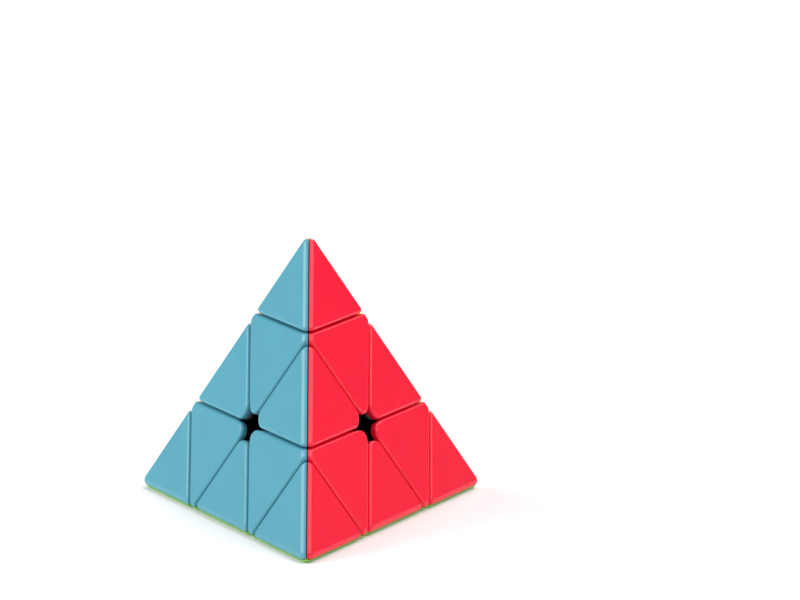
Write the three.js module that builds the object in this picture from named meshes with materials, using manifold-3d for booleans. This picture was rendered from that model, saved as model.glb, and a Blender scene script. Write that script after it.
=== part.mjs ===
// Pyramid twisty puzzle: a four-armed core, four corner pieces that turn on its arms, four small
// tips that turn on the corner pieces, and six edge pieces held between them.
// Millimetres, +Z up through the top tip, the core's centre at the origin, the front corner to -Y.

import * as THREE from 'three';
import { ConvexGeometry } from 'three/addons/geometries/ConvexGeometry.js';
import { mergeVertices } from 'three/addons/utils/BufferGeometryUtils.js';
import Module from 'manifold-3d';

const wasm = await Module();
wasm.setup();

// ---------------------------------------------------------------- driving dimensions

const edgeLength = 103; // pyramid edge, measured as if its corners were sharp
const tipShare = 0.3315; // height of a tip as a share of the pyramid's height
const layerShare = 1 - tipShare; // height of a turning layer: the cuts meet on the ridges
const tipRidgeRadius = 2.1; // rounding along the tips' ridges and around their points
const edgeRidgeRadius = 2.4; // rounding along the ridges of the other pieces
const shellThickness = 1.8; // coloured plates over the black bodies
const slidingGap = 0.4; // between pieces that turn past each other
const fixedGap = 0.3; // between pieces that are fixed to each other
const cornerRounding = 2.6; // of a corner piece's plate at the middle of a face
const edgeRounding = 4.5; // of an edge piece's plate there
const bodyLip = 0.4; // black bodies reach this much further to the middle of a face

const cavityRadius = 11; // empty ball round the core's centre
const footTop = 15.5; // outer radius of the feet that hold the edge pieces in
const neckTop = 17.9; // outer radius of the necks above the feet
const footAngle = THREE.MathUtils.degToRad(69); // of a layer's cone at the feet
const neckAngle = THREE.MathUtils.degToRad(60); // of a layer's cone at the necks

const coreBallRadius = 8.5;
const armRadius = 4.2;
const armEnd = 13.2; // distance of an arm's end from the core's centre
const seatThickness = 2.6; // web in a corner piece that the spring presses on
const springRoom = 3.7; // radius of the bore round spring, screw head and tip post
const springLength = 7.4;
const springTurns = 5;
const springWire = 0.4; // wire radius
const springCoil = 2.7; // coil radius, to the wire's middle
const screwRadius = 1.5;
const screwHeadRadius = 3.1;
const screwHeadHeight = 2.2;
const screwTipDepth = 5.2; // distance of a screw's point from the core's centre
const postLength = 5.6; // tip post inside the corner piece
const beadHeight = 0.8; // snap bead round the post
const beadDepth = 0.4;

const layerSteps = 24; // flats round the surfaces that layers turn on
const boreSteps = 16; // flats round the core's arms, the bores and the hardware
const roundingSteps = 6; // strips across a rounded ridge and round a plate's end

// ---------------------------------------------------------------- derived dimensions

const faceDistance = edgeLength / (2 * Math.sqrt(6)); // core centre to face
const cornerDistance = 3 * faceDistance;
const pyramidHeight = 4 * faceDistance;
const layerPlane = cornerDistance - layerShare * pyramidHeight;
const tipPlane = cornerDistance - tipShare * pyramidHeight;
const bodyInset = shellThickness + fixedGap; // black bodies, measured inwards from the faces
const seatBottom = armEnd + fixedGap;
const seatTop = seatBottom + seatThickness;
const springBottom = seatTop + fixedGap;
const screwHeadBottom = springBottom + springLength + fixedGap;
const postRadius = springRoom - fixedGap;
const postEnd = tipPlane - postLength;
const far = 2 * edgeLength; // larger than anything here

// ---------------------------------------------------------------- corners and faces

const cornerTilt = Math.acos(-1 / 3); // between any two corner directions

function lowerCorner(azimuthDegrees) {
  const azimuth = THREE.MathUtils.degToRad(azimuthDegrees);
  const reach = Math.sin(cornerTilt);
  return new THREE.Vector3(reach * Math.cos(azimuth), reach * Math.sin(azimuth), Math.cos(cornerTilt));
}

const corners = {
  top: new THREE.Vector3(0, 0, 1),
  front: lowerCorner(-90),
  left: lowerCorner(150),
  right: lowerCorner(30),
};
const cornerNames = Object.keys(corners);

// Each face lies opposite one corner and carries one colour.
const faceColours = { top: 'green', front: 'yellow', left: 'red', right: 'blue' };

function faceNormal(oppositeCorner) {
  return corners[oppositeCorner].clone().negate();
}

function otherCorners(...names) {
  return cornerNames.filter((name) => !names.includes(name));
}

// Axes built on two corner directions: the first corner, square to it towards the second, and across.
function cornerFrame(first, second) {
  const along = corners[first];
  const towards = corners[second].clone().addScaledVector(along, -corners[second].dot(along)).normalize();
  const across = along.clone().cross(towards);
  return new THREE.Matrix4().makeBasis(along, towards, across);
}

// The turn that carries the top corner to the first corner and the front corner to the second.
function turnOnto(first, second) {
  return cornerFrame(first, second).multiply(cornerFrame('top', 'front').transpose());
}

// ---------------------------------------------------------------- solids

function solidFrom(geometry) {
  const bare = geometry.clone();
  bare.deleteAttribute('normal');
  bare.deleteAttribute('uv');
  const merged = mergeVertices(bare, 1e-4);
  const mesh = new wasm.Mesh({
    numProp: 3,
    vertProperties: new Float32Array(merged.attributes.position.array),
    triVerts: new Uint32Array(merged.index.array),
  });
  return new wasm.Manifold(mesh);
}

function geometryFrom(solid) {
  const mesh = solid.getMesh();
  const geometry = new THREE.BufferGeometry();
  geometry.setAttribute('position', new THREE.BufferAttribute(mesh.vertProperties, 3));
  geometry.setIndex(new THREE.BufferAttribute(mesh.triVerts, 1));
  const faceted = geometry.toNonIndexed();
  faceted.computeVertexNormals();
  return faceted;
}

// A turned solid round the +Z axis; the profile lists [radius, height] from bottom to top.
function turned(profile, steps = boreSteps) {
  const points = profile.map(([radius, height]) => new THREE.Vector2(radius, height));
  return new THREE.LatheGeometry(points, steps).rotateX(Math.PI / 2);
}

function aimed(geometry, direction) {
  const turn = new THREE.Quaternion().setFromUnitVectors(new THREE.Vector3(0, 0, 1), direction);
  return geometry.applyQuaternion(turn);
}

function cylinder(radius, bottom, top) {
  return turned([[0, bottom], [radius, bottom], [radius, top], [0, top]]);
}

function ball(radius) {
  return new THREE.SphereGeometry(radius, boreSteps, boreSteps / 2);
}

// Everything further out than a distance along a direction.
function beyond(direction, distance) {
  const block = new THREE.BoxGeometry(far, far, far).translate(0, 0, distance + far / 2);
  return solidFrom(aimed(block, direction));
}

// Directions spread between three given ones, as the rows of a triangle.
function directionsBetween(first, second, third) {
  const spread = [];
  for (let i = 0; i <= roundingSteps; i += 1) {
    for (let j = 0; j <= roundingSteps - i; j += 1) {
      const share = new THREE.Vector3()
        .addScaledVector(first, i)
        .addScaledVector(second, j)
        .addScaledVector(third, roundingSteps - i - j);
      spread.push(share.normalize());
    }
  }
  return spread;
}

// The whole pyramid with rounded ridges: the hull of a small ball in each corner.
function roundedPyramid(radius) {
  const points = cornerNames.flatMap((name) => {
    const middle = corners[name].clone().multiplyScalar(3 * (faceDistance - radius));
    const normals = otherCorners(name).map(faceNormal);
    return directionsBetween(...normals).map((way) => way.multiplyScalar(radius).add(middle));
  });
  return solidFrom(new ConvexGeometry(points));
}

// The pyramid that the black bodies fill, with sharp corners.
function innerPyramid() {
  const reach = 3 * (faceDistance - bodyInset);
  const points = cornerNames.map((name) => corners[name].clone().multiplyScalar(reach));
  return solidFrom(new ConvexGeometry(points));
}

function arc(radius, fromAngle, toAngle) {
  return [0, 1, 2].map((step) => {
    const angle = fromAngle + ((toAngle - fromAngle) * step) / 2;
    return [radius * Math.sin(angle), radius * Math.cos(angle)];
  });
}

// All that turns with one corner.  Its boundary is turned round the corner's axis: a wide cone at the
// feet, a narrower cone at the necks and a flat cut outside, so the layer can stand at any angle.
function layer(name, grow) {
  const foot = footAngle + grow / footTop;
  const neck = neckAngle + grow / neckTop;
  const cut = layerPlane - grow;
  const neckEnd = neckTop - grow;
  const profile = [
    [0, 0],
    ...arc(footTop + grow, foot, neck),
    ...arc(neckEnd, neck, Math.acos(cut / neckEnd)),
    [far, cut],
    [far, far],
    [0, far],
  ];
  return solidFrom(aimed(turned(profile, layerSteps), corners[name]));
}

// Keeps the parts of a solid that lie inside some corners' layers and outside others'.
function keptIn(solid, inside, outside) {
  const within = inside.reduce((rest, name) => rest.intersect(layer(name, -slidingGap / 2)), solid);
  return outside.reduce((rest, name) => rest.subtract(layer(name, slidingGap / 2)), within);
}

// Rounds the corner that a piece's two side walls make at the middle of a face.  The walls belong to
// two layers, and side tells whether the piece lies inside (1) or outside (-1) both of them.
function roundedAtFace(solid, oppositeCorner, wallNames, side, radius, lip = 0) {
  const normal = faceNormal(oppositeCorner);
  const wallWays = wallNames.map((name) => {
    return corners[name].clone().projectOnPlane(normal).multiplyScalar(-side);
  });
  const slope = wallWays[0].length();
  const wallDistance = (side * (faceDistance / 3 - layerPlane) - slidingGap / 2) / slope;
  const [first, second] = wallWays.map((way) => way.normalize());
  const halfway = first.clone().add(second).normalize();
  const middle = halfway.clone().multiplyScalar((wallDistance - radius) / halfway.dot(first));
  let rounded = solid;
  for (let step = 1; step < roundingSteps; step += 1) {
    const way = first.clone().lerp(second, step / roundingSteps).normalize();
    rounded = rounded.subtract(beyond(way, middle.dot(way) + radius + lip));
  }
  return rounded;
}

// ---------------------------------------------------------------- plates and bodies, made once
//
// The plates and bodies below belong to the top corner and to the edge between top and front.
// Turned copies of them make all the others.

const tipPyramid = roundedPyramid(tipRidgeRadius);
const outerPyramid = roundedPyramid(edgeRidgeRadius);
const filledPyramid = innerPyramid();
const lowerCorners = otherCorners('top');

// The part of a piece that is one colour: near the face opposite a corner, and on that face's side
// of the ridges it shares with the piece's other faces.
function plate(piece, oppositeCorner, otherFaces) {
  const normal = faceNormal(oppositeCorner);
  const slab = piece.intersect(beyond(normal, faceDistance - shellThickness));
  return otherFaces.reduce((rest, name) => {
    const towards = normal.clone().sub(faceNormal(name)).normalize();
    return rest.intersect(beyond(towards, fixedGap / 2));
  }, slab);
}

function tipBlock(pyramid) {
  return pyramid.intersect(beyond(corners.top, tipPlane + slidingGap / 2));
}

function tipPlate() {
  return plate(tipBlock(tipPyramid), 'front', ['left', 'right']);
}

// The tip's black body with its post, which snaps into the corner piece below and turns there.
function tipBody() {
  const beadBottom = postEnd + beadHeight;
  const post = turned([
    [0, postEnd],
    [postRadius, postEnd],
    [postRadius, beadBottom],
    [postRadius + beadDepth, beadBottom],
    [postRadius + beadDepth, beadBottom + beadHeight],
    [postRadius, beadBottom + beadHeight],
    [postRadius, tipPlane + slidingGap],
    [0, tipPlane + slidingGap],
  ]);
  return tipBlock(filledPyramid).add(solidFrom(post));
}

function cornerBlock(pyramid) {
  const belowTip = pyramid.subtract(beyond(corners.top, tipPlane - slidingGap / 2));
  return keptIn(belowTip, ['top'], lowerCorners);
}

function cornerPlate() {
  const sharp = plate(cornerBlock(outerPyramid), 'front', ['left', 'right']);
  return roundedAtFace(sharp, 'front', ['left', 'right'], -1, cornerRounding);
}

// The stepped hole along a corner piece's axis: core arm, screw, spring and screw head, tip post.
function cornerBore() {
  const grooveBottom = postEnd + beadHeight - fixedGap;
  const grooveTop = postEnd + 2 * beadHeight + fixedGap;
  const armRoom = armRadius + fixedGap;
  const screwRoom = screwRadius + fixedGap;
  return solidFrom(turned([
    [0, 0],
    [armRoom, 0],
    [armRoom, seatBottom],
    [screwRoom, seatBottom],
    [screwRoom, seatTop],
    [springRoom, seatTop],
    [springRoom, grooveBottom],
    [springRoom + beadDepth, grooveBottom],
    [springRoom + beadDepth, grooveTop],
    [springRoom, grooveTop],
    [springRoom, tipPlane],
    [0, tipPlane],
  ]));
}

function cornerBody() {
  const block = cornerBlock(filledPyramid).subtract(solidFrom(ball(cavityRadius))).subtract(cornerBore());
  return lowerCorners.reduce((rest, opposite) => {
    return roundedAtFace(rest, opposite, otherCorners('top', opposite), -1, cornerRounding, bodyLip);
  }, block);
}

function edgeBlock(pyramid) {
  return keptIn(pyramid, ['top', 'front'], []);
}

function edgePlate() {
  const sharp = plate(edgeBlock(outerPyramid), 'right', ['left']);
  return roundedAtFace(sharp, 'right', ['top', 'front'], 1, edgeRounding);
}

function edgeBody() {
  const block = edgeBlock(filledPyramid).subtract(solidFrom(ball(cavityRadius)));
  return ['left', 'right'].reduce((rest, opposite) => {
    return roundedAtFace(rest, opposite, ['top', 'front'], 1, edgeRounding, bodyLip);
  }, block);
}

// ---------------------------------------------------------------- core, screws and springs

function core() {
  const holeRadius = screwRadius + fixedGap;
  const holeEnd = screwTipDepth - fixedGap;
  const directions = Object.values(corners);
  const withArms = directions.reduce((rest, direction) => {
    return rest.add(solidFrom(aimed(cylinder(armRadius, 0, armEnd), direction)));
  }, solidFrom(ball(coreBallRadius)));
  return directions.reduce((rest, direction) => {
    return rest.subtract(solidFrom(aimed(cylinder(holeRadius, holeEnd, far), direction)));
  }, withArms);
}

// A pan-head screw with a cross recess.
function screw() {
  const headTop = screwHeadBottom + screwHeadHeight;
  const blank = solidFrom(turned([
    [0, screwTipDepth],
    [screwRadius, screwTipDepth + screwRadius],
    [screwRadius, screwHeadBottom],
    [screwHeadRadius, screwHeadBottom],
    [screwHeadRadius, headTop - screwHeadHeight / 3],
    [screwHeadRadius - screwHeadHeight / 3, headTop],
    [0, headTop],
  ]));
  const slotLength = screwHeadRadius;
  const slotWidth = screwHeadRadius / 4;
  const slot = new THREE.BoxGeometry(slotLength, slotWidth, screwHeadHeight).translate(0, 0, headTop);
  const crossSlot = slot.clone().rotateZ(Math.PI / 2);
  return blank.subtract(solidFrom(slot)).subtract(solidFrom(crossSlot));
}

class Helix extends THREE.Curve {
  getPoint(share, target = new THREE.Vector3()) {
    const angle = 2 * Math.PI * springTurns * share;
    const rise = springWire + (springLength - 2 * springWire) * share;
    return target.set(springCoil * Math.cos(angle), springCoil * Math.sin(angle), springBottom + rise);
  }
}

function spring() {
  const section = new THREE.Shape().absarc(0, 0, springWire, 0, 2 * Math.PI);
  const steps = springTurns * 10;
  return new THREE.ExtrudeGeometry(section, { steps, curveSegments: 3, extrudePath: new Helix() });
}

// ---------------------------------------------------------------- materials

const plasticColours = { green: '#7cc93a', yellow: '#f5d327', red: '#f0243f', blue: '#55b2d6' };

function colouredPlastic(colour) {
  return new THREE.MeshStandardMaterial({ color: plasticColours[colour], roughness: 0.45, metalness: 0 });
}

function blackPlastic() {
  return new THREE.MeshStandardMaterial({ color: '#17181a', roughness: 0.4, metalness: 0 });
}

function steel() {
  return new THREE.MeshStandardMaterial({ color: '#a8abb0', roughness: 0.35, metalness: 1 });
}

// ---------------------------------------------------------------- assembly

const puzzle = new THREE.Group();
puzzle.name = 'pyramid_twisty_puzzle';

function place(name, geometry, material, turn = new THREE.Matrix4()) {
  const mesh = new THREE.Mesh(geometry, material);
  mesh.name = name;
  mesh.quaternion.setFromRotationMatrix(turn);
  puzzle.add(mesh);
}

const parts = {
  tipPlate: geometryFrom(tipPlate()),
  tipBody: geometryFrom(tipBody()),
  cornerPlate: geometryFrom(cornerPlate()),
  cornerBody: geometryFrom(cornerBody()),
  edgePlate: geometryFrom(edgePlate()),
  edgeBody: geometryFrom(edgeBody()),
  screw: geometryFrom(screw()),
  spring: spring(),
};

place('core_spider', geometryFrom(core()), blackPlastic());

// Each corner: screw, spring, corner piece and tip, with three plates on the corner piece and the tip.
for (const name of cornerNames) {
  const others = otherCorners(name);
  const turn = turnOnto(name, others[0]);
  place(`axle_screw_${name}`, parts.screw, steel(), turn);
  place(`tension_spring_${name}`, parts.spring, steel(), turn);
  place(`corner_body_${name}`, parts.cornerBody, blackPlastic(), turn);
  place(`tip_body_${name}`, parts.tipBody, blackPlastic(), turn);
  for (const opposite of others) {
    const colour = faceColours[opposite];
    const plateTurn = turnOnto(name, opposite);
    place(`corner_shell_${name}_${colour}`, parts.cornerPlate, colouredPlastic(colour), plateTurn);
    place(`tip_shell_${name}_${colour}`, parts.tipPlate, colouredPlastic(colour), plateTurn);
  }
}

// The corner that a turn carries the right corner to.
function carriedFromRight(turn) {
  const landing = corners.right.clone().applyMatrix4(turn);
  return cornerNames.find((name) => landing.distanceTo(corners[name]) < 0.01);
}

// Each edge: a body and two plates.  Swapping the two corners carries the plate to the edge's other face.
cornerNames.forEach((first, index) => {
  for (const second of cornerNames.slice(index + 1)) {
    place(`edge_body_${first}_${second}`, parts.edgeBody, blackPlastic(), turnOnto(first, second));
    for (const turn of [turnOnto(first, second), turnOnto(second, first)]) {
      const colour = faceColours[carriedFromRight(turn)];
      place(`edge_shell_${first}_${second}_${colour}`, parts.edgePlate, colouredPlastic(colour), turn);
    }
  }
});

export default puzzle;
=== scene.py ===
"""Looks of the pyramid twisty puzzle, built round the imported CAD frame.

Every coloured plate is a slice of one rounded pyramid: cut by flat planes, grown by a small ball so
that its outline is round, and cut again where it meets its neighbours. Plates, black bodies and
hardware are made once, for the top corner and for the edge between the top and front corners, and
turned copies of them make all the others.
"""

import math

import bmesh
import bpy
from mathutils import Matrix, Vector


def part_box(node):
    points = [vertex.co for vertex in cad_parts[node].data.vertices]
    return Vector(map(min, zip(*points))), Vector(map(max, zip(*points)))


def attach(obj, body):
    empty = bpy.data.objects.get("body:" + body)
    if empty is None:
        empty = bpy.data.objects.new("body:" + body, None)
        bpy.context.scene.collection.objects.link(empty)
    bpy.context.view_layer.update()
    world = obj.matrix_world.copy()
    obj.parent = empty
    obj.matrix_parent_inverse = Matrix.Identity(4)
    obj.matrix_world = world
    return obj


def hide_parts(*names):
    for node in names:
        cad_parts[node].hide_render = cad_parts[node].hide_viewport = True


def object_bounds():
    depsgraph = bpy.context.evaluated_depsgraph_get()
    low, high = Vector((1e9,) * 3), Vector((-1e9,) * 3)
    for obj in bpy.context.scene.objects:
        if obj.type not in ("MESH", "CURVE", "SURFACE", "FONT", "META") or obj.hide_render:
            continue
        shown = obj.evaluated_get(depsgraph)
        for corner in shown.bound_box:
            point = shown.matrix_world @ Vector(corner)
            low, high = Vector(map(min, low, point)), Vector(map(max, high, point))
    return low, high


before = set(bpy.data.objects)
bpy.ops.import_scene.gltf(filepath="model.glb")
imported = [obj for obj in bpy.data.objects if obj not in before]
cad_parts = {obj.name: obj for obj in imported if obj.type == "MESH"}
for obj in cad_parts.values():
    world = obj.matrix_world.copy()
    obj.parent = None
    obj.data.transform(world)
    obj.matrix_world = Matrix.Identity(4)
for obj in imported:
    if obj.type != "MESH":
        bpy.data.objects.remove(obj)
cad_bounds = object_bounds()

MM = 0.001
UP = Vector((0, 0, 1))

# ---------------------------------------------------------------- sizes read from the frame

tip_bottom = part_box("tip_shell_top_red")[0].z
corner_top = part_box("corner_shell_top_red")[1].z
sliding_gap = tip_bottom - corner_top
tip_plane = (tip_bottom + corner_top) / 2
layer_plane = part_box("edge_shell_top_front_red")[0].z - sliding_gap / 2
base_plate_low, base_plate_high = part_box("edge_shell_front_left_green")
face_distance = -base_plate_low.z
plate_thickness = base_plate_high.z - base_plate_low.z
facet_allowance = 0.05 * MM  # keeps the finer roundings inside the CAD's faceted ones
tip_ridge_radius = (3 * face_distance - cad_bounds[1].z) / 2 + facet_allowance
post_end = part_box("tip_body_top")[0].z
arm_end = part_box("core_spider")[1].z
spring_bottom, spring_top = (corner.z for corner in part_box("tension_spring_top"))
screw_point, screw_top = (corner.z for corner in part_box("axle_screw_top"))

# ---------------------------------------------------------------- finer sizes, as in the CAD source

fixed_gap = 0.3 * MM  # between pieces that are fixed to each other
edge_ridge_radius = 2.4 * MM  # along the ridges of all pieces but the tips
corner_rounding = 2.6 * MM  # of a corner piece's plate at the middle of a face
edge_rounding = 4.5 * MM  # of an edge piece's plate there
body_lip = 0.4 * MM  # black bodies reach this much further to the middle of a face
cavity_radius = 11 * MM  # empty ball round the core's centre
foot_top = 15.5 * MM  # outer radius of the feet that hold the edge pieces in
neck_top = 17.9 * MM  # outer radius of the necks above the feet
foot_angle = math.radians(69)  # between a layer's axis and the cone round its feet
neck_angle = math.radians(60)  # between that axis and the cone round its necks
core_ball_radius = 8.5 * MM
arm_radius = 4.2 * MM
bore_radius = 3.7 * MM
post_radius = bore_radius - fixed_gap
bead_height = 0.8 * MM  # snap bead round the tip's post
bead_depth = 0.4 * MM
spring_turns = 5
spring_wire = 0.4 * MM  # wire radius
spring_coil = 2.7 * MM  # coil radius, to the wire's middle
screw_radius = 1.5 * MM
screw_head_radius = 3.1 * MM
screw_head_height = 2.2 * MM

# ---------------------------------------------------------------- roundings that only the looks have

outline_radius = 0.95 * MM  # along the outline of each coloured facet
parting_gap = 0.3 * MM  # the fine line between two plates on a ridge
parting_radius = 0.15 * MM  # along that line and the plates' hidden edges
body_ridge_radius = 0.6 * MM
body_outline_radius = 0.4 * MM
seat_gap = 0.05 * MM  # between a plate and the body it is fixed to
mould_radius = 0.3 * MM  # on the corners of turned shapes
body_top = face_distance - plate_thickness - fixed_gap
plate_bottom = body_top + seat_gap
far = 6 * face_distance  # larger than anything here

ridge_halvings = 4  # a rounded ridge has two to this power strips
outline_halvings = 3
parting_halvings = 2
wall_steps = 14  # strips round a plate's end at the middle of a face
turned_steps = 96
spring_steps = 36  # along one turn of a spring
merging_distance = 0.001 * MM
smooth_angle = math.radians(20)  # between faces that belong to one curved surface
flat_angle = math.radians(0.3)  # between faces that belong to one plane

# ---------------------------------------------------------------- corners and faces

CORNER_TILT = math.acos(-1 / 3)  # between any two corner directions


def lower_corner(azimuth_degrees):
    azimuth = math.radians(azimuth_degrees)
    reach = math.sin(CORNER_TILT)
    return Vector((reach * math.cos(azimuth), reach * math.sin(azimuth), math.cos(CORNER_TILT)))


CORNERS = {
    "top": UP,
    "front": lower_corner(-90),
    "left": lower_corner(150),
    "right": lower_corner(30),
}
NAMES = list(CORNERS)
FACE_COLOURS = {"top": "green", "front": "yellow", "left": "red", "right": "blue"}  # by opposite corner


def others(*names):
    return [name for name in NAMES if name not in names]


def face_normal(opposite):
    return -CORNERS[opposite]


def corner_axes(first, second):
    """Axes built on two corner directions, as the columns of a matrix."""
    along = CORNERS[first]
    towards = (CORNERS[second] - along * CORNERS[second].dot(along)).normalized()
    return Matrix((along, towards, along.cross(towards))).transposed()


def turn_onto(first, second):
    """The turn that carries the top corner to the first corner and the front corner to the second."""
    return (corner_axes(first, second) @ corner_axes("top", "front").transposed()).to_4x4()


# ---------------------------------------------------------------- convex solids


def hull_of(points):
    """The convex solid round some points, with its flat faces whole."""
    bm = bmesh.new()
    for point in points:
        bm.verts.new(point)
    bmesh.ops.remove_doubles(bm, verts=bm.verts, dist=merging_distance)
    bmesh.ops.convex_hull(bm, input=bm.verts, use_existing_faces=False)
    unused = [vert for vert in bm.verts if not vert.link_faces]
    bmesh.ops.delete(bm, geom=unused, context="VERTS")
    bmesh.ops.dissolve_limit(bm, angle_limit=flat_angle, verts=bm.verts, edges=bm.edges)
    return bm


def keep_within(bm, normal, distance):
    """Cuts off what lies further out than a distance along a normal, and closes the cut."""
    everything = bm.verts[:] + bm.edges[:] + bm.faces[:]
    on_plane = merging_distance / 10
    middle = normal * distance
    bmesh.ops.bisect_plane(
        bm, geom=everything, dist=on_plane, plane_co=middle, plane_no=normal, clear_outer=True
    )
    rim = [edge for edge in bm.edges if edge.is_boundary]
    if rim:
        bmesh.ops.edgeloop_fill(bm, edges=rim)


def spread(first, second, third, halvings):
    """Directions spread evenly between three given ones."""
    if halvings == 0:
        return [first, second, third]
    a = (second + third).normalized()
    b = (third + first).normalized()
    c = (first + second).normalized()
    triangles = ((first, c, b), (c, second, a), (b, a, third), (a, b, c))
    return [way for triangle in triangles for way in spread(*triangle, halvings - 1)]


def normals_round(vert):
    """The normals of the curved or flat surfaces that meet at a corner, in order round it."""
    loop = vert.link_loops[0]
    normals = []
    for _ in vert.link_loops:
        normals.append(loop.face.normal)
        loop = loop.link_loop_prev.link_loop_radial_next
    count = len(normals)
    breaks = [i for i in range(count) if normals[i - 1].angle(normals[i]) > smooth_angle]
    if not breaks:
        return [vert.normal.copy()]
    surfaces = zip(breaks, breaks[1:] + [breaks[0] + count])
    return [sum((normals[i % count] for i in range(*ends)), Vector()).normalized() for ends in surfaces]


def ways_out(vert, halvings):
    """The directions between the normals round a corner of a convex solid."""
    first, *rest = normals_round(vert)
    if not rest:
        return [first]
    if len(rest) == 1:
        steps = 2**halvings
        return [first.slerp(rest[0], step / steps) for step in range(steps + 1)]
    fan = zip(rest, rest[1:])
    return [way for second, third in fan for way in spread(first, second, third, halvings)]


def grown(bm, radius, halvings):
    """A convex solid grown by a ball: its faces move out and its edges and corners become round."""
    bmesh.ops.remove_doubles(bm, verts=bm.verts, dist=merging_distance)
    bmesh.ops.recalc_face_normals(bm, faces=bm.faces)
    bm.normal_update()
    points = [vert.co + way * radius for vert in bm.verts for way in ways_out(vert, halvings)]
    bm.free()
    return hull_of(points)


def pyramid(inset, radius):
    """The pyramid moved in from the faces by inset, with its ridges rounded to radius."""
    points = []
    for name in NAMES:
        middle = CORNERS[name] * (3 * (face_distance - inset - radius))
        normals = [face_normal(other) for other in others(name)]
        points += [middle + way * radius for way in spread(*normals, ridge_halvings)]
    return hull_of(points)


# ---------------------------------------------------------------- the three kinds of piece
#
# Each function cuts a pyramid down to one piece, or to what one plate needs of it. Its walls stand
# back from their final place by the inset, which the ball then makes good.

INSIDE = 1  # a piece that turns with both layers beside the middle of a face
OUTSIDE = -1


def cut_tip(bm, inset):
    keep_within(bm, -CORNERS["top"], -(tip_plane + sliding_gap / 2) - inset)


def cut_below_tip(bm, inset):
    keep_within(bm, CORNERS["top"], tip_plane - sliding_gap / 2 - inset)


def cut_corner_plate(bm, inset):
    cut_below_tip(bm, inset)
    for name in ("left", "right"):
        keep_within(bm, CORNERS[name], layer_plane - sliding_gap / 2 - inset)
    round_at_face(bm, inset, "front", OUTSIDE, ("left", "right"), corner_rounding)


def cut_edge_plate(bm, inset):
    for name in ("top", "front"):
        keep_within(bm, -CORNERS[name], -(layer_plane + sliding_gap / 2) - inset)
    round_at_face(bm, inset, "right", INSIDE, ("top", "front"), edge_rounding)


def cut_corner_body(bm, inset):
    cut_below_tip(bm, inset)
    for opposite in others("top"):
        walls = others("top", opposite)
        round_at_face(bm, inset, opposite, OUTSIDE, walls, corner_rounding, body_lip)


def cut_edge_body(bm, inset):
    for opposite in ("left", "right"):
        round_at_face(bm, inset, opposite, INSIDE, ("top", "front"), edge_rounding, body_lip)


def round_at_face(bm, inset, opposite, side, layers, radius, lip=0):
    """Rounds the corner that a piece's two side walls make at the middle of a face. The walls are
    those of two layers, and the piece lies inside or outside both."""
    normal = face_normal(opposite)
    ways = [(CORNERS[name] - normal * CORNERS[name].dot(normal)) * -side for name in layers]
    slope = ways[0].length
    wall_distance = (side * (face_distance / 3 - layer_plane) - sliding_gap / 2) / slope
    first, second = (way.normalized() for way in ways)
    halfway = (first + second).normalized()
    middle = halfway * ((wall_distance - radius) / halfway.dot(first))
    for step in range(1, wall_steps):
        way = first.slerp(second, step / wall_steps)
        keep_within(bm, way, middle.dot(way) + radius + lip - inset)


# ---------------------------------------------------------------- meshes


def mesh_of(bm):
    """A mesh with all its faces looking outwards, which cutting with it depends on."""
    mesh = bpy.data.meshes.new("piece")
    bmesh.ops.recalc_face_normals(bm, faces=bm.faces)
    if bm.calc_volume(signed=True) < 0:
        bmesh.ops.reverse_faces(bm, faces=bm.faces)
    bm.to_mesh(mesh)
    bm.free()
    return mesh


def scratch(data):
    """An object for modifiers to work on. applied() takes it away again."""
    obj = bpy.data.objects.new("scratch", data)
    bpy.context.scene.collection.objects.link(obj)
    return obj


def applied(obj):
    """An object's mesh with its modifiers applied."""
    bpy.context.view_layer.update()
    graph = bpy.context.evaluated_depsgraph_get()
    mesh = bpy.data.meshes.new_from_object(obj.evaluated_get(graph), depsgraph=graph)
    bpy.data.objects.remove(obj)
    return mesh


def shaded(mesh, sharp_degrees=32):
    """Smooth shading that keeps flat faces flat and real edges sharp."""
    mesh.shade_smooth()
    mesh.set_sharp_from_angle(angle=math.radians(sharp_degrees))
    obj = scratch(mesh)
    even = obj.modifiers.new("even_normals", "WEIGHTED_NORMAL")
    even.keep_sharp = True
    return applied(obj)


def cleaned(mesh):
    """Takes out the slivers that joining and cutting can leave."""
    bm = bmesh.new()
    bm.from_mesh(mesh)
    bmesh.ops.remove_doubles(bm, verts=bm.verts, dist=merging_distance)
    bmesh.ops.dissolve_degenerate(bm, dist=merging_distance, edges=bm.edges)
    return mesh_of(bm)


def shaped(obj, *steps):
    """Joins, cuts or intersects an object with others, one after another."""
    for operation, tool in steps:
        boolean = obj.modifiers.new("shape", "BOOLEAN")
        boolean.operation = operation
        boolean.solver = "EXACT"
        boolean.object = tool
    mesh = applied(obj)
    for _, tool in steps:
        bpy.data.objects.remove(tool)
    return cleaned(mesh)


def plate_mesh(cut, ridge_radius, opposite, neighbours):
    """One coloured plate: the part of a piece near one face. neighbours are the corners opposite
    the piece's other faces."""
    bm = pyramid(outline_radius, ridge_radius - outline_radius)
    cut(bm, outline_radius)
    bm = grown(bm, outline_radius - parting_radius, outline_halvings)
    normal = face_normal(opposite)
    keep_within(bm, -normal, -(plate_bottom + parting_radius))
    for name in neighbours:
        towards = (normal - face_normal(name)).normalized()
        keep_within(bm, -towards, -(parting_gap / 2 + parting_radius))
    return shaded(mesh_of(grown(bm, parting_radius, parting_halvings)))


def block(cut):
    """The solid under the plates, before its inside is shaped."""
    depth = face_distance - body_top + body_outline_radius
    bm = pyramid(depth, body_ridge_radius - body_outline_radius)
    cut(bm, body_outline_radius)
    return scratch(mesh_of(grown(bm, body_outline_radius, parting_halvings)))


# ---------------------------------------------------------------- turned shapes


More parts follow.
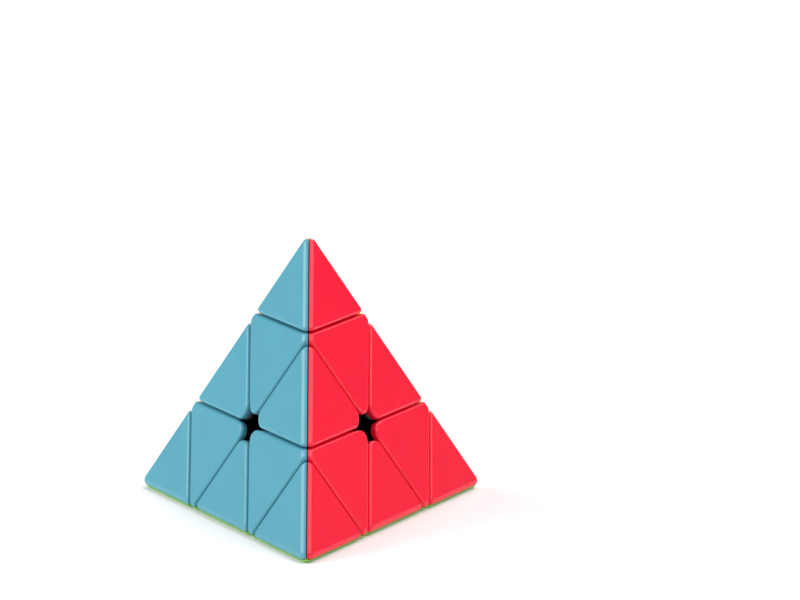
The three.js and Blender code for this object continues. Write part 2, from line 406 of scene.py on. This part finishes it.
def turned(profile, direction=UP, twist=0):
    """A solid turned round an axis. Its profile of (radius, height) starts and ends on the axis, and
    twist turns its strips about it."""
    bm = bmesh.new()
    points = [bm.verts.new((radius, 0, height)) for radius, height in profile]
    lines = [bm.edges.new(pair) for pair in zip(points, points[1:])]
    bmesh.ops.spin(
        bm,
        geom=points + lines,
        axis=UP,
        cent=(0, 0, 0),
        angle=2 * math.pi,
        steps=turned_steps,
        use_merge=True,
    )
    bmesh.ops.remove_doubles(bm, verts=bm.verts, dist=merging_distance)
    bm.transform(Matrix.Rotation(twist, 4, UP))
    bm.transform(UP.rotation_difference(direction).to_matrix().to_4x4())
    return scratch(mesh_of(bm))


def filleted(profile, radius=mould_radius, steps=4):
    """A profile whose sharp corners are rounded."""
    points = [Vector(point) for point in profile]
    result = [points[0]]
    for before, corner, after in zip(points, points[1:], points[2:]):
        arriving = (corner - before).normalized()
        leaving = (after - corner).normalized()
        turn = arriving.angle(leaving)
        if turn < smooth_angle:
            result.append(corner)
            continue
        reach = radius * math.tan(turn / 2)
        start = corner - arriving * reach
        end = corner + leaving * reach
        for step in range(steps + 1):
            share = step / steps
            result.append(start.lerp(corner, share).lerp(corner.lerp(end, share), share))
    return result + [points[-1]]


def arc(radius, from_angle, to_angle, steps):
    """Part of a profile: an arc round the origin, with its angles measured from the axis."""
    angles = [from_angle + (to_angle - from_angle) * step / steps for step in range(steps + 1)]
    return [(radius * math.sin(angle), radius * math.cos(angle)) for angle in angles]


def cylinder(radius, bottom, top):
    """The profile of a cylinder."""
    return [(0, bottom), (radius, bottom), (radius, top), (0, top)]


def ball(radius):
    return turned(arc(radius, math.pi, 0, steps=turned_steps // 2))


def layer(name, grow):
    """All that turns with one corner, grown or shrunk by half the sliding gap."""
    foot = foot_angle + grow / foot_top
    neck = neck_angle + grow / neck_top
    cut = layer_plane - grow
    neck_end = neck_top - grow
    curve = [
        (0, 0),
        *arc(foot_top + grow, foot, neck, steps=3),
        *arc(neck_end, neck, math.acos(cut / neck_end), steps=3),
        (far, cut),
    ]
    return turned([*filleted(curve), (far, far), (0, far)], CORNERS[name])


def tip_post():
    """The post under a tip, with the bead that snaps into the corner piece's groove."""
    bead_bottom = post_end + bead_height
    bead_top = bead_bottom + bead_height
    top = tip_plane + sliding_gap
    profile = [
        (0, post_end),
        (post_radius, post_end),
        (post_radius, bead_bottom),
        (post_radius + bead_depth, bead_bottom),
        (post_radius + bead_depth, bead_top),
        (post_radius, bead_top),
        (post_radius, top),
        (0, top),
    ]
    return turned(filleted(profile, radius=mould_radius / 2))


def corner_bore():
    """The stepped hole on a corner piece's axis: core arm, screw, spring, screw head and tip post."""
    seat_bottom = arm_end + fixed_gap
    seat_top = spring_bottom - fixed_gap
    groove_bottom = post_end + bead_height - fixed_gap
    groove_top = post_end + 2 * bead_height + fixed_gap
    arm_room = arm_radius + fixed_gap
    screw_room = screw_radius + fixed_gap
    return turned(
        [
            (0, 0),
            (arm_room, 0),
            (arm_room, seat_bottom),
            (screw_room, seat_bottom),
            (screw_room, seat_top),
            (bore_radius, seat_top),
            (bore_radius, groove_bottom),
            (bore_radius + bead_depth, groove_bottom),
            (bore_radius + bead_depth, groove_top),
            (bore_radius, groove_top),
            (bore_radius, tip_plane),
            (0, tip_plane),
        ]
    )


def tip_body_mesh():
    return shaded(shaped(block(cut_tip), ("UNION", tip_post())))


def corner_body_mesh():
    steps = [("DIFFERENCE", ball(cavity_radius)), ("INTERSECT", layer("top", -sliding_gap / 2))]
    steps += [("DIFFERENCE", layer(name, sliding_gap / 2)) for name in others("top")]
    steps.append(("DIFFERENCE", corner_bore()))
    return shaded(shaped(block(cut_corner_body), *steps))


def edge_body_mesh():
    steps = [("DIFFERENCE", ball(cavity_radius))]
    steps += [("INTERSECT", layer(name, -sliding_gap / 2)) for name in ("top", "front")]
    return shaded(shaped(block(cut_edge_body), *steps))


# ---------------------------------------------------------------- core, screws and springs


def core_mesh():
    """The core's ball and its four arms, with the screws' holes."""
    hole = cylinder(screw_radius + fixed_gap, screw_point - fixed_gap, far)
    arm = filleted(cylinder(arm_radius, core_ball_radius / 2, arm_end))
    half_strip = math.pi / turned_steps  # keeps the edges of hole and arm apart
    steps = [("UNION", turned(arm, way)) for way in CORNERS.values()]
    steps += [("DIFFERENCE", turned(hole, way, half_strip)) for way in CORNERS.values()]
    return shaded(shaped(ball(core_ball_radius), *steps))


def screw_mesh():
    """A pan-head screw with a cross recess and a rolled thread on its lower half."""
    head_bottom = screw_top - screw_head_height
    dome_height = 0.6 * screw_head_height
    thread_bottom = screw_point + screw_radius
    thread_turns = 10
    thread_pitch = 0.6 * MM
    thread_depth = 0.15 * MM
    root = screw_radius - thread_depth
    profile = [(0, screw_point), (root, thread_bottom)]
    for index in range(thread_turns):
        height = thread_bottom + index * thread_pitch
        profile += [(screw_radius, height + thread_pitch / 2), (root, height + thread_pitch)]
    profile += [
        (screw_radius, profile[-1][1] + thread_pitch / 2),
        (screw_radius, head_bottom),
        (screw_head_radius, head_bottom),
    ]
    for across, up in arc(1, math.pi / 2, 0, steps=8):
        profile.append((screw_head_radius * across, screw_top - dome_height * (1 - up)))
    return shaded(shaped(turned(profile), ("DIFFERENCE", cross_recess())))


def cross_recess():
    """The cross that is cut into a screw's head."""
    half_length = screw_head_radius / 2
    half_width = screw_head_radius / 8
    depth = screw_head_height / 2
    bm = bmesh.new()
    bar = [(half_length, -half_width), (half_length, half_width), (half_width, half_width)]
    outline = []
    for quarter in range(4):
        turn = Matrix.Rotation(quarter * math.pi / 2, 3, "Z")
        for across, along in bar:
            outline.append(bm.verts.new(turn @ Vector((across, along, screw_top - depth))))
    bottom = bm.faces.new(outline)
    sides = bmesh.ops.extrude_face_region(bm, geom=[bottom])["geom"]
    top = [item for item in sides if isinstance(item, bmesh.types.BMVert)]
    bmesh.ops.translate(bm, verts=top, vec=UP * (2 * depth))
    return scratch(mesh_of(bm))


def spring_mesh():
    """A wound spring round the top corner's axis."""
    curve = bpy.data.curves.new("spring", "CURVE")
    curve.dimensions = "3D"
    curve.bevel_depth = spring_wire
    curve.bevel_resolution = 4
    curve.use_fill_caps = True
    steps = spring_turns * spring_steps
    line = curve.splines.new("POLY")
    line.points.add(steps)
    low = spring_bottom + spring_wire
    high = spring_top - spring_wire
    for step, point in enumerate(line.points):
        share = step / steps
        angle = 2 * math.pi * spring_turns * share
        height = low + (high - low) * share
        point.co = (spring_coil * math.cos(angle), spring_coil * math.sin(angle), height, 1)
    return shaded(cleaned(applied(scratch(curve))))


# ---------------------------------------------------------------- materials


class Nodes:
    """A material and its nodes, made one after another."""

    def __init__(self, name):
        self.material = bpy.data.materials.new(name)
        self.material.use_nodes = True
        self.tree = self.material.node_tree
        self.shader = self.tree.nodes["Principled BSDF"]

    def set(self, **values):
        """Sets the shader's own sockets; underscores stand for spaces."""
        for name, value in values.items():
            self.shader.inputs[name.replace("_", " ")].default_value = value

    def add(self, kind, **values):
        node = self.tree.nodes.new(f"ShaderNode{kind}")
        for name, value in values.items():
            node.inputs[name.replace("_", " ")].default_value = value
        return node

    def link(self, output, target):
        self.tree.links.new(output, target)

    def noise(self, scale, detail):
        place = self.add("TexCoord").outputs["Object"]
        noise = self.add("TexNoise", Scale=scale, Detail=detail)
        self.link(place, noise.inputs["Vector"])
        return noise.outputs["Fac"]

    def ranged(self, factor, low, high):
        """Spreads a noise, which mostly stays near its middle, over a range."""
        node = self.add("MapRange", From_Min=0.3, From_Max=0.7, To_Min=low, To_Max=high)
        self.link(factor, node.inputs["Value"])
        return node.outputs["Result"]


def moulded_plastic(name, colour, roughness):
    """Moulded plastic: a colour that is hardly uneven, and the fine satin grain of the mould."""
    darkest = 0.95  # as a share of the colour
    roughness_spread = 0.05
    nodes = Nodes(name)
    ramp = nodes.add("ValToRGB")
    ramp.color_ramp.elements[0].color = (*(channel * darkest for channel in colour), 1)
    ramp.color_ramp.elements[1].color = (*colour, 1)
    clouds = nodes.noise(scale=90, detail=3)
    nodes.link(nodes.ranged(clouds, low=0, high=1), ramp.inputs["Fac"])
    nodes.link(ramp.outputs["Color"], nodes.shader.inputs["Base Color"])

    grain = nodes.noise(scale=2600, detail=2)
    sheen = nodes.ranged(grain, roughness - roughness_spread, roughness + roughness_spread)
    nodes.link(sheen, nodes.shader.inputs["Roughness"])
    bump = nodes.add("Bump", Strength=0.12, Distance=0.02 * MM)
    nodes.link(grain, bump.inputs["Height"])
    nodes.link(bump.outputs["Normal"], nodes.shader.inputs["Normal"])
    return nodes.material


def plated_steel(name):
    """Plated steel for the screws and springs: bright, with a slightly uneven polish."""
    nodes = Nodes(name)
    nodes.set(Metallic=1, Base_Color=(0.6, 0.61, 0.63, 1))
    clouds = nodes.noise(scale=900, detail=4)
    nodes.link(nodes.ranged(clouds, low=0.22, high=0.38), nodes.shader.inputs["Roughness"])
    return nodes.material


satin = 0.34  # roughness of the coloured plates
semi_gloss = 0.30  # roughness of the black bodies

MATERIALS = {
    "blue_plastic": moulded_plastic("blue_plastic", (0.084, 0.350, 0.455), satin),
    "red_plastic": moulded_plastic("red_plastic", (0.950, 0.005, 0.036), satin),
    "green_plastic": moulded_plastic("green_plastic", (0.250, 0.620, 0.060), satin),
    "yellow_plastic": moulded_plastic("yellow_plastic", (0.900, 0.600, 0.020), satin),
    "black_plastic": moulded_plastic("black_plastic", (0.012, 0.012, 0.014), semi_gloss),
    "steel": plated_steel("plated_steel"),
}

# ---------------------------------------------------------------- the puzzle's pieces


def place(mesh, turn, node, body, slot):
    """Puts a turned copy of a mesh in place of a CAD node, in the material of a slot."""
    obj = bpy.data.objects.new(f"fine_{node}", mesh.copy())
    obj.data.transform(turn)
    obj.data.materials.clear()
    obj.data.materials.append(MATERIALS[slot])
    bpy.context.scene.collection.objects.link(obj)
    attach(obj, body)
    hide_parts(node)


def carried_from_right(turn):
    """The corner that a turn carries the right corner to."""
    landing = turn @ CORNERS["right"]
    return min(NAMES, key=lambda name: (landing - CORNERS[name]).length)


def add_core():
    place(core_mesh(), Matrix(), "core_spider", "core", "black_plastic")
    screw = screw_mesh()
    spring = spring_mesh()
    for corner in NAMES:
        turn = turn_onto(corner, others(corner)[0])
        place(screw, turn, f"axle_screw_{corner}", "core", "steel")
        place(spring, turn, f"tension_spring_{corner}", "core", "steel")


def add_corners_and_tips():
    corner_plate = plate_mesh(cut_corner_plate, edge_ridge_radius, "front", ["left", "right"])
    tip_plate = plate_mesh(cut_tip, tip_ridge_radius, "front", ["left", "right"])
    corner_body = corner_body_mesh()
    tip_body = tip_body_mesh()
    for corner in NAMES:
        turn = turn_onto(corner, others(corner)[0])
        place(corner_body, turn, f"corner_body_{corner}", f"corner_{corner}", "black_plastic")
        place(tip_body, turn, f"tip_body_{corner}", f"tip_{corner}", "black_plastic")
        for opposite in others(corner):
            colour = FACE_COLOURS[opposite]
            slot = f"{colour}_plastic"
            turn = turn_onto(corner, opposite)
            place(corner_plate, turn, f"corner_shell_{corner}_{colour}", f"corner_{corner}", slot)
            place(tip_plate, turn, f"tip_shell_{corner}_{colour}", f"tip_{corner}", slot)


def add_edges():
    edge_plate = plate_mesh(cut_edge_plate, edge_ridge_radius, "right", ["left"])
    edge_body = edge_body_mesh()
    for index, first in enumerate(NAMES):
        for second in NAMES[index + 1 :]:
            edge = f"{first}_{second}"
            there = turn_onto(first, second)
            back = turn_onto(second, first)
            place(edge_body, there, f"edge_body_{edge}", f"edge_{edge}", "black_plastic")
            for turn in (there, back):
                colour = FACE_COLOURS[carried_from_right(turn)]
                slot = f"{colour}_plastic"
                place(edge_plate, turn, f"edge_shell_{edge}_{colour}", f"edge_{edge}", slot)


# ---------------------------------------------------------------- floor, light and camera


def add_floor():
    bpy.ops.mesh.primitive_plane_add(size=12, location=(0, 0, -face_distance))
    floor = bpy.context.object
    floor.name = "floor"
    nodes = Nodes("pale_floor")
    nodes.set(Base_Color=(0.9, 0.9, 0.9, 1), Roughness=0.9, Specular_IOR_Level=0.1)
    floor.data.materials.append(nodes.material)


def add_softbox(name, azimuth, elevation, distance, size, watts):
    """A square soft light aimed at the puzzle; azimuth 0 is in front of it and 90 to its right."""
    light = bpy.data.lights.new(name, "AREA")
    light.size = size
    light.energy = watts
    obj = bpy.data.objects.new(name, light)
    a = math.radians(azimuth)
    e = math.radians(elevation)
    way = Vector((math.sin(a) * math.cos(e), -math.cos(a) * math.cos(e), math.sin(e)))
    obj.location = way * distance
    obj.rotation_euler = way.to_track_quat("Z", "Y").to_euler()
    bpy.context.scene.collection.objects.link(obj)


def add_world(brightness):
    world = bpy.data.worlds.new("studio")
    world.use_nodes = True
    background = world.node_tree.nodes["Background"]
    background.inputs["Color"].default_value = (1, 1, 1, 1)
    background.inputs["Strength"].default_value = brightness
    bpy.context.scene.world = world


def add_camera():
    """A long lens a little above the puzzle, which stands to the left of the picture's middle and
    below it."""
    azimuth = math.radians(0.151)
    elevation = math.radians(12.827)
    roll = math.radians(0.171)
    distance = 1.4833
    puzzle_left_of_middle = 25.78 * MM
    puzzle_below_middle = 39.83 * MM

    camera = bpy.data.cameras.new("camera")
    camera.sensor_width = 36
    camera.lens = 234.6
    camera.clip_start = 0.05
    camera.clip_end = 40
    flat = Vector((math.sin(azimuth), math.cos(azimuth), 0))
    ahead = flat * math.cos(elevation) - UP * math.sin(elevation)
    level = ahead.cross(UP).normalized()
    right = Matrix.Rotation(-roll, 3, ahead) @ level
    up = right.cross(ahead)
    obj = bpy.data.objects.new("camera", camera)
    obj.location = right * puzzle_left_of_middle + up * puzzle_below_middle - ahead * distance
    obj.rotation_euler = Matrix((right, up, -ahead)).transposed().to_euler()
    bpy.context.scene.collection.objects.link(obj)
    bpy.context.scene.camera = obj


add_core()
add_corners_and_tips()
add_edges()
add_floor()
add_world(brightness=0.1)
add_softbox("back", azimuth=160, elevation=58, distance=1.7, size=1.4, watts=21)
add_softbox("left", azimuth=-84, elevation=31, distance=1.3, size=0.9, watts=15.6)
add_softbox("right", azimuth=58, elevation=46, distance=1.3, size=1.2, watts=12.3)
add_camera()
bpy.context.scene.view_settings.view_transform = "Standard"
